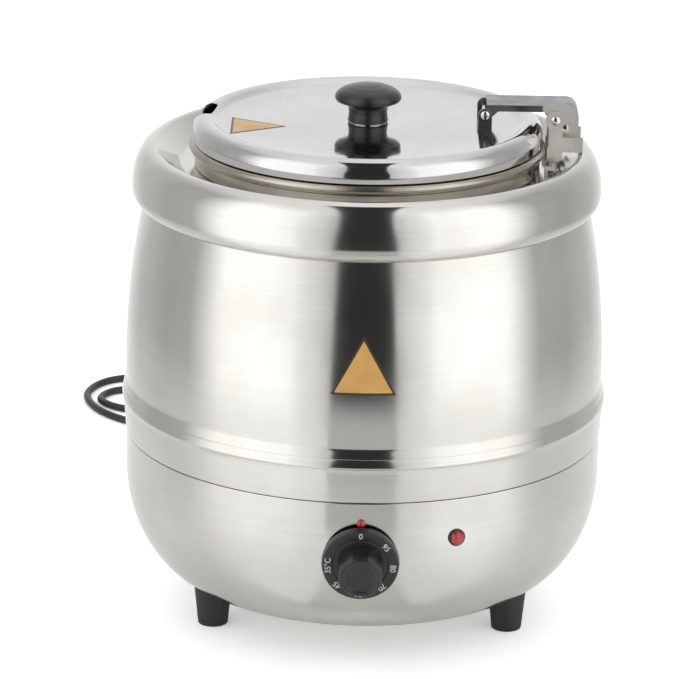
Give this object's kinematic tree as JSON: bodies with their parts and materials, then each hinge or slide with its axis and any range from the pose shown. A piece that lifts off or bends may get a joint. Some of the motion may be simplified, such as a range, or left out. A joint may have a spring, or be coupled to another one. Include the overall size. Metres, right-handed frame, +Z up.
{
  "type": "soup kettle",
  "caption": "Round double-skinned electric soup kettle with a lift-out pot, a hinged lid on a swinging arm, a thermostat dial, rubber feet and a mains cord.",
  "frame": {"origin": "on the floor, below the kettle's axis, at the height of the feet's undersides", "axes": "+Z up along the kettle's axis; -Y towards the dial; +X towards the lid hinge; the cord leaves at +Y"},
  "size_m": [0.3983, 0.6768, 0.379],
  "materials": {
    "polished_steel": "polished stainless steel",
    "pot_steel": "satin stainless steel",
    "satin_steel": "satin stainless steel",
    "zinc_steel": "zinc plated steel",
    "nickel": "nickel plated brass",
    "brass": "plain brass and copper",
    "black_rubber": "matt black rubber",
    "black_plastic": "satin black phenolic",
    "cord_black": "black flexible PVC",
    "cream_ceramic": "white ceramic and phenolic",
    "red_lens": "clear red plastic",
    "label_gold": "printed film"
  },
  "bodies": {
    "kettle": {"lower_bowl": "polished_steel", "upper_shell": "polished_steel", "seam_ring": "satin_steel", "collar_ring": "polished_steel", "base_cover": "satin_steel", "base_cover_screws": "zinc_steel", "foot_left": "black_rubber", "foot_right": "black_rubber", "foot_rear": "black_rubber", "foot_screws": "zinc_steel", "foot_nuts": "zinc_steel", "water_well": "pot_steel", "inner_pot": "pot_steel", "heating_element": "satin_steel", "element_clamp": "satin_steel", "clamp_nuts": "zinc_steel", "thermostat_body": "cream_ceramic", "thermostat_nut": "zinc_steel", "sensor_bulb": "brass", "capillary_tube": "brass", "thermal_cutout": "cream_ceramic", "terminal_block": "cream_ceramic", "earth_stud": "brass", "lamp_housing": "black_plastic", "lamp_lens": "red_lens", "index_bead": "red_lens", "front_label": "label_gold", "body_bracket": "polished_steel", "bracket_screws": "zinc_steel", "arm_pivot_rivet": "polished_steel", "cord_sleeve": "black_plastic", "gland_nut": "black_plastic", "power_cord": "cord_black", "plug_body": "cord_black", "plug_pins": "nickel"},
    "lid_arm": {"hinge_arm": "satin_steel", "arm_cross_pin": "polished_steel"},
    "lid": {"lid_cover": "polished_steel", "lid_bracket": "polished_steel", "locating_ring": "pot_steel", "lid_knob": "black_plastic", "knob_screw": "zinc_steel", "knob_washer": "pot_steel", "lid_label": "label_gold", "lid_pivot_rivet": "polished_steel"},
    "dial": {"dial_shaft": "zinc_steel", "dial_knob": "black_plastic"}
  },
  "joints": [
    {"name": "lid_arm_hinge", "type": "hinge", "parent": "kettle", "child": "lid_arm", "pos_m": [0.129, 0, 0.3585], "axis": [0, 1, 0], "range_deg": [0, 100]},
    {"name": "lid_rock", "type": "hinge", "parent": "lid_arm", "child": "lid", "pos_m": [0.0805, 0, 0.3615], "axis": [0, 1, 0], "range_deg": [-4, 0]},
    {"name": "thermostat_turn", "type": "hinge", "parent": "kettle", "child": "dial", "pos_m": [0, -0.16612, 0.09], "axis": [0, 0.9921, 0.1256], "range_deg": [0, 307]}
  ],
  "couplings": [
    {"joint": "lid_rock", "follows": "lid_arm_hinge", "ratio": -0.04}
  ]
}
